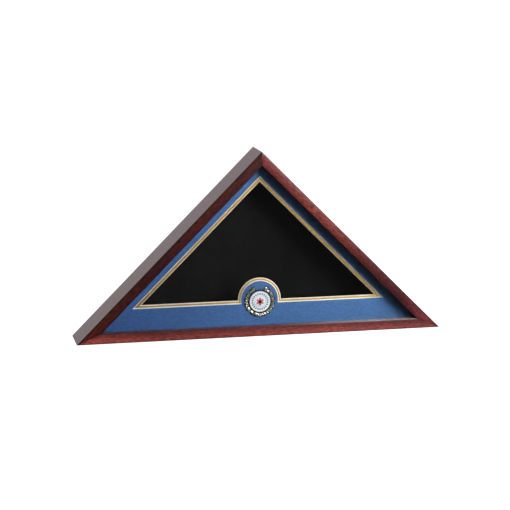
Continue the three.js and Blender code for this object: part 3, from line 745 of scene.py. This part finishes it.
def make_wreath():
    """A laurel wreath: two branches that start at a bow below and stay apart above."""
    bm = bmesh.new()
    back, front = WREATH_HIGH.y, WREATH_LOW.y
    x, z = MEDAL
    centre = Vector(MEDAL)
    turned(bm, [
        (0, back), (BAND_RADIUS - 0.3 * MM, back), (BAND_RADIUS, back - 0.3 * MM),
        (BAND_RADIUS - 0.3 * MM, back - 0.8 * MM), (BAND_RADIUS - 1.6 * MM, back - 0.9 * MM),
        (19.2 * MM, front + 0.3 * MM), (18.6 * MM, front + 0.1 * MM), (0, front + 0.1 * MM),
    ], MEDAL, 96)
    layers = (back - 0.1 * MM, back - 0.6 * MM)
    foot = centre + Vector((0, -STEM_RADIUS - BOW_DROP))
    for side in (1, -1):
        for i in range(LEAF_NODES):
            share = i / (LEAF_NODES - 1)
            angle = FIRST_LEAF + (LAST_LEAF - FIRST_LEAF) * share
            outward = Vector((side * math.cos(angle), math.sin(angle)))
            along = Vector((-side * math.sin(angle), math.cos(angle)))
            node = centre + outward * STEM_RADIUS
            size = 1 - TIP_SHRINK * share
            for lean, length, width, layer, offset in NODE_LEAVES:
                growth = along + outward * lean
                start = node + outward * (offset * MM)
                leaf(bm, start, math.atan2(growth.y, growth.x), length * size * MM, width * size * MM,
                     layers[layer], NODE_LIFT)
            berry = node + outward * (3.6 * MM) - along * (0.6 * MM)
            bead(bm, berry.x, berry.y, layers[1], BERRY_RADIUS, BEAD_HEIGHT)
        tip = LAST_LEAF + TIP_STEP
        outward = Vector((side * math.cos(tip), math.sin(tip)))
        along = Vector((-side * math.sin(tip), math.cos(tip)))
        for lean, length, layer in TIP_LEAVES:
            growth = along + outward * lean
            leaf(bm, centre + outward * STEM_RADIUS, math.atan2(growth.y, growth.x), length * MM,
                 TIP_WIDTH, layers[layer], TIP_LIFT)
        for heading, length in BOW_LEAVES:
            angle = math.radians(heading)
            leaf(bm, foot, math.atan2(math.sin(angle), side * math.cos(angle)), length * MM, BOW_WIDTH,
                 layers[1], BOW_LIFT)
    bead(bm, x, z - STEM_RADIUS - BOW_DROP, layers[1], KNOT_RADIUS, BEAD_HEIGHT, 20)
    hold_within(bm, front, WREATH_LIMIT, WREATH_FLARE)
    ring_radius = (RING_HIGH.x - RING_LOW.x) / 2
    cast = antique_cast("antique_wreath", (0.78, 0.73, 0.58), (0.012, 0.010, 0.007), MEDAL, ring_radius,
                        front, back - front)
    add_piece("laurel_wreath", mesh_from(bm, "laurel_wreath", cast), CASE, "cast_metal", "medallion_wreath")


def make_enamel_ring():
    """A white ring with a roped outer edge, and a circle of small blue-grey lozenges on it."""
    front, back = RING_LOW.y, RING_HIGH.y
    outer = (RING_HIGH.x - RING_LOW.x) / 2
    inner = RING_INNER_RADIUS
    face_y = front + RING_FACE_DROP
    white = bmesh.new()
    turned(white, [
        (inner, back), (inner, front + 0.15 * MM), (inner + 0.2 * MM, front), (inner + 0.6 * MM, front),
        (inner + 0.9 * MM, face_y), (outer - 1.9 * MM, face_y), (outer - 0.4 * MM, face_y + 0.1 * MM),
        (outer - 0.2 * MM, back),
    ], MEDAL, 96)
    for i in range(ROPE_STRANDS):
        angle = 2 * math.pi * i / ROPE_STRANDS
        leaf(white, on_medal(outer - ROPE_INSET, angle), angle + ROPE_SLANT, 2.5 * MM, 1.9 * MM,
             face_y + 0.05 * MM, face_y - front)
    hold_within(white, front, outer)
    add_piece("enamel_ring", mesh_from(white, "enamel_ring", WHITE_ENAMEL), CASE,
              "white_enamel", "medallion_enamel_ring")

    blue = bmesh.new()
    for i in range(LOZENGES):
        angle = 2 * math.pi * (i + 0.5) / LOZENGES
        start = on_medal(inner + LOZENGE_INSET, angle)
        leaf(blue, start, angle, 4.4 * MM, 2.4 * MM, face_y + 0.02 * MM, 0.17 * MM)
    add_piece("ring_lozenges", mesh_from(blue, "ring_lozenges", GREY_ENAMEL), CASE, "blue_enamel")


def make_roundel():
    """A low white dome in the middle of the ring."""
    low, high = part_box("medallion_roundel")
    radius = (high.x - low.x) / 2
    rise = high.y - low.y
    dome = [(radius * math.cos(a), high.y - rise * math.sin(a)) for a in quarter_turn(8)[:-1]]
    bm = bmesh.new()
    turned(bm, [(0, high.y), *dome, (0, low.y)], MEDAL, 72)
    add_piece("enamel_roundel", mesh_from(bm, "enamel_roundel", WHITE_ENAMEL), CASE,
              "white_enamel", "medallion_roundel")


def make_rosette():
    """Six domed petals around the middle. waist is the share of their reach left at the notches."""
    low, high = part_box("medallion_rosette")
    reach = (high.z - low.z) / 2
    petals, waist, rings, steps = 6, 0.52, 8, 96
    bm = bmesh.new()
    top, base = [], []
    for i in range(steps):
        angle = 2 * math.pi * i / steps
        edge = reach * (waist + (1 - waist) * abs(math.cos(petals * angle / 2)) ** 0.7)
        column = []
        for k in range(1, rings + 1):
            r = edge * k / rings
            crown = math.sqrt(max(0.0, 1 - (k / rings) ** 3))
            y = high.y - (high.y - low.y) * (0.25 + 0.75 * crown)
            column.append(bm.verts.new((MEDAL[0] + r * math.sin(angle), y, MEDAL[1] + r * math.cos(angle))))
        top.append(column)
        base.append(bm.verts.new((column[-1].co.x, high.y, column[-1].co.z)))
    peak = bm.verts.new((MEDAL[0], low.y, MEDAL[1]))
    foot = bm.verts.new((MEDAL[0], high.y, MEDAL[1]))
    for i in range(steps):
        j = (i + 1) % steps
        bm.faces.new((peak, top[i][0], top[j][0]))
        for k in range(rings - 1):
            bm.faces.new((top[i][k], top[i][k + 1], top[j][k + 1], top[j][k]))
        bm.faces.new((top[i][-1], base[i], base[j], top[j][-1]))
        bm.faces.new((foot, base[j], base[i]))
    add_piece("enamel_rosette", mesh_from(bm, "enamel_rosette", RED_ENAMEL), CASE,
              "red_enamel", "medallion_rosette")


def make_boss():
    """A dark blue bead at the middle of the rosette."""
    low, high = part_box("medallion_boss")
    bm = bmesh.new()
    bead(bm, MEDAL[0], MEDAL[1], high.y, (high.x - low.x) / 2, high.y - low.y, 40)
    add_piece("enamel_boss", mesh_from(bm, "enamel_boss", BLUE_ENAMEL), CASE,
              "blue_enamel", "medallion_boss")


make_wreath()
make_enamel_ring()
make_roundel()
make_rosette()
make_boss()


# --- Hardware on the back ----------------------------------------------------------------------

BUTTON_RADIUS = 5 * MM
BUTTON_TIP_RADIUS = 4 * MM
BUTTON_REACH = 17 * MM
SHANK_RADIUS = 1.49 * MM
SCREW_HEAD_RADIUS = 3.2 * MM
SCREW_SHANK_RADIUS = 1.4 * MM
SLOT_WIDTH = 0.8 * MM
SLOT_DEPTH = 0.7 * MM
SLOT_TURNS = 85                         # degrees, under the 90 from which the cut leaves no slot
SLOT_TURN_START = 1.3
HEAD_GAP = 0.03 * MM
BUTTON_EDGE = 0.25 * MM
DIMPLE_RADIUS = 6 * MM
DIMPLE_DEPTH = 0.45 * MM
DIMPLE_PLACE = 0.86                     # a share of the way from the pivot to the tip's middle
NAIL_SHANK_RADIUS = 0.7 * MM
NAIL_SEAT = 0.85 * MM
BUTTON_JOINTS = [j for j in frame["joints"] if j["name"].endswith("turn_button_pivot")]


def make_turn_button(joint):
    """A stamped teardrop catch with a rounded edge and a shallow dimple towards its tip."""
    node = joint["child"]
    low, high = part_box(node)
    pivot = Vector((joint["pos_m"][0], joint["pos_m"][2]))
    middle = Vector(((low.x + high.x) / 2, (low.z + high.z) / 2))
    heading = math.atan2(*reversed((middle - pivot).normalized()))
    lean = math.asin((BUTTON_RADIUS - BUTTON_TIP_RADIUS) / BUTTON_REACH)
    edge = math.pi / 2 - lean
    outline = arc((0, 0), BUTTON_RADIUS, edge, 2 * math.pi - edge, 36)
    outline += arc((BUTTON_REACH, 0), BUTTON_TIP_RADIUS, -edge, edge, 28)
    hole = arc((0, 0), SHANK_RADIUS, 0, 2 * math.pi, 32)[:-1]
    bm = rounded_plate(node, outline, low.y, high.y, BUTTON_EDGE, [hole])
    dimple = bmesh.new()
    bmesh.ops.create_uvsphere(dimple, u_segments=48, v_segments=32, radius=DIMPLE_RADIUS)
    place = (BUTTON_REACH * DIMPLE_PLACE, high.y + DIMPLE_RADIUS - DIMPLE_DEPTH, 0)
    dimple.transform(Matrix.Translation(place))
    bm = cut(bm, node, dimple)
    bm.transform(Matrix.Translation((pivot.x, 0, pivot.y)) @ Matrix.Rotation(-heading, 4, "Y"))
    add_piece(node + "_stamped", mesh_from(bm, node, BRASS), node, "brass", node)


def make_button_screw(joint):
    """A round-head slotted screw through a turn button. Each slot lies at an angle of its own."""
    node = joint["child"].replace("turn_button", "button_screw")
    low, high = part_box(node)
    centre = (joint["pos_m"][0], joint["pos_m"][2])
    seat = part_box(joint["child"])[1].y + HEAD_GAP
    rise = high.y - seat
    head = [(SCREW_HEAD_RADIUS * math.cos(a) ** 0.8, seat + rise * math.sin(a))
            for a in quarter_turn(10)[:-1]]
    bm = bmesh.new()
    turned(bm, [(0, low.y), (SCREW_SHANK_RADIUS, low.y + 2 * MM), (SCREW_SHANK_RADIUS, seat),
                *head, (0, high.y)], centre, 48)
    half = SLOT_WIDTH / 2
    reach = SCREW_HEAD_RADIUS * 1.5
    slot_turn = math.radians(sum(map(ord, node)) % SLOT_TURNS + SLOT_TURN_START)
    slot_cutter = box_mesh((centre[0] - reach, high.y - SLOT_DEPTH, centre[1] - half),
                           (centre[0] + reach, high.y + 1 * MM, centre[1] + half), slot_turn, centre)
    bm = cut(bm, node, slot_cutter)
    add_piece(node + "_turned", mesh_from(bm, node, BRASS), CASE, "brass", node)


def make_hanger_nail(side):
    """A short nail with a flat head that holds the hanger."""
    node = side + "_hanger_nail"
    low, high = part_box(node)
    centre = ((low.x + high.x) / 2, (low.z + high.z) / 2)
    radius = (high.x - low.x) / 2
    shank = NAIL_SHANK_RADIUS
    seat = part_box("sawtooth_hanger")[0].y + NAIL_SEAT
    bm = bmesh.new()
    turned(bm, [
        (0, low.y), (shank, low.y + 2 * MM), (shank, seat),
        (radius * 0.94, seat), (radius, seat + 0.12 * MM), (radius * 0.9, high.y - 0.18 * MM),
        (radius * 0.6, high.y - 0.04 * MM), (0, high.y),
    ], centre, 40)
    add_piece(node + "_round", mesh_from(bm, node, STEEL), CASE, "steel", node)


def make_bumper(side):
    """A domed rubber foot that rests on the wall."""
    node = side + "_wall_bumper"
    low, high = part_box(node)
    centre = ((low.x + high.x) / 2, (low.z + high.z) / 2)
    radius = (high.x - low.x) / 2
    rise = high.y - low.y
    dome = [(radius * (0.55 + 0.45 * math.cos(a)), low.y + rise * (0.35 + 0.65 * math.sin(a)))
            for a in quarter_turn(8)]
    foot = [(0, low.y), (radius * 0.97, low.y), (radius, low.y + 0.3 * MM)]
    bm = bmesh.new()
    turned(bm, [*foot, *dome, (0, high.y)], centre, 56)
    add_piece(node + "_dome", mesh_from(bm, node, RUBBER), CASE, "rubber", node)


for button_joint in BUTTON_JOINTS:
    make_turn_button(button_joint)
    make_button_screw(button_joint)
for hand in ("left", "right"):
    make_hanger_nail(hand)
    make_bumper(hand)


# --- Studio ------------------------------------------------------------------------------------

FLOOR_SIZE = 60
FLOOR_GAP = 0.2 * MM
FLOOR_WHITE = 0.5
FLOOR_GLOW = 0.95
FLOOR_BOUNCE = 0.07
FRONT_BRIGHTNESS = 0.03
BACK_BRIGHTNESS = 0.71
BACK_LIGHT = (0.96, 0.93, 0.955)
BACK_FROM, BACK_FULL = -0.3, 0.8        # how far back a direction points where the light comes up
LENS = 121.8
CAMERA_PLACE = (-0.6423, FRONT_Y - 2.9114, 0.7331)
CAMERA_DOWN = 11.120                    # degrees
CAMERA_RIGHT = 12.198


def make_floor():
    """A wide floor. The camera sees it as white, and it throws only a little light onto the case."""
    bm = bmesh.new()
    bmesh.ops.create_grid(bm, x_segments=1, y_segments=1, size=FLOOR_SIZE)
    mesh = bpy.data.meshes.new("floor")
    bm.to_mesh(mesh)
    bm.free()
    g = Graph("pale_floor")
    path = g.node("ShaderNodeLightPath")
    matte = g.node("ShaderNodeBsdfDiffuse")
    matte.inputs["Color"].default_value = (*(FLOOR_WHITE,) * 3, 1)
    glow = g.node("ShaderNodeEmission")
    glow.inputs["Strength"].default_value = FLOOR_GLOW
    seen = g.node("ShaderNodeAddShader")
    bounced = g.node("ShaderNodeEmission")
    bounced.inputs["Strength"].default_value = FLOOR_BOUNCE
    choose = g.node("ShaderNodeMixShader")
    links = g.tree.links
    links.new(matte.outputs[0], seen.inputs[0])
    links.new(glow.outputs[0], seen.inputs[1])
    links.new(path.outputs["Is Camera Ray"], choose.inputs["Fac"])
    links.new(bounced.outputs[0], choose.inputs[1])
    links.new(seen.outputs[0], choose.inputs[2])
    links.new(choose.outputs[0], g.output.inputs["Surface"])
    mesh.materials.append(g.material)
    floor = bpy.data.objects.new("floor", mesh)
    floor.location.z = CAD_LOW.z - FLOOR_GAP
    bpy.context.scene.collection.objects.link(floor)


def make_world():
    """White to the camera. It lights the case brightly from behind and leaves the front dark."""
    world = bpy.data.worlds.new("studio")
    bpy.context.scene.world = world
    world.use_nodes = True
    tree = world.node_tree
    tree.nodes.clear()
    links = tree.links
    coords = tree.nodes.new("ShaderNodeTexCoord")
    split = tree.nodes.new("ShaderNodeSeparateXYZ")
    behind = tree.nodes.new("ShaderNodeMapRange")
    behind.interpolation_type = "SMOOTHSTEP"
    behind.inputs["From Min"].default_value = BACK_FROM
    behind.inputs["From Max"].default_value = BACK_FULL
    behind.inputs["To Min"].default_value = FRONT_BRIGHTNESS
    behind.inputs["To Max"].default_value = BACK_BRIGHTNESS
    walls = tree.nodes.new("ShaderNodeBackground")
    walls.inputs["Color"].default_value = (*BACK_LIGHT, 1)
    white = tree.nodes.new("ShaderNodeBackground")
    white.inputs["Color"].default_value = (1, 1, 1, 1)
    path = tree.nodes.new("ShaderNodeLightPath")
    choose = tree.nodes.new("ShaderNodeMixShader")
    output = tree.nodes.new("ShaderNodeOutputWorld")
    links.new(coords.outputs["Generated"], split.inputs["Vector"])
    links.new(split.outputs["Y"], behind.inputs["Value"])
    links.new(behind.outputs["Result"], walls.inputs["Strength"])
    links.new(path.outputs["Is Camera Ray"], choose.inputs["Fac"])
    links.new(walls.outputs[0], choose.inputs[1])
    links.new(white.outputs[0], choose.inputs[2])
    links.new(choose.outputs[0], output.inputs["Surface"])


def add_softbox(name, location, target, size, spread, watts):
    """A round lamp aimed at a point. Its spread is in degrees."""
    lamp = bpy.data.lights.new(name, "AREA")
    lamp.shape = "DISK"
    lamp.size = size
    lamp.spread = math.radians(spread)
    lamp.energy = watts
    holder = bpy.data.objects.new(name, lamp)
    holder.location = location
    aim = Vector(target) - Vector(location)
    holder.rotation_euler = aim.to_track_quat("-Z", "Y").to_euler()
    bpy.context.scene.collection.objects.link(holder)


def make_camera():
    """A long lens to the left of the case and above it."""
    camera = bpy.data.objects.new("camera", bpy.data.cameras.new("camera"))
    camera.data.sensor_width = 36
    camera.data.lens = LENS
    camera.location = CAMERA_PLACE
    camera.rotation_euler = (math.radians(90 - CAMERA_DOWN), 0, math.radians(-CAMERA_RIGHT))
    camera.data.clip_end = 200
    bpy.context.scene.collection.objects.link(camera)
    bpy.context.scene.camera = camera


make_floor()
make_world()
make_camera()
add_softbox("key", location=(0.56, -0.64, 0.54), target=(0, 0, 0.08), size=0.58, spread=80, watts=2.28)
add_softbox("rear", location=(1.0, 1.5, 0.95), target=(0, 0, 0.12), size=2.2, spread=90, watts=9)
add_softbox("side", location=(-1.6, 0.35, 0.85), target=(0, 0, 0.14), size=1.2, spread=90, watts=2)
bpy.context.scene.view_settings.view_transform = "Standard"
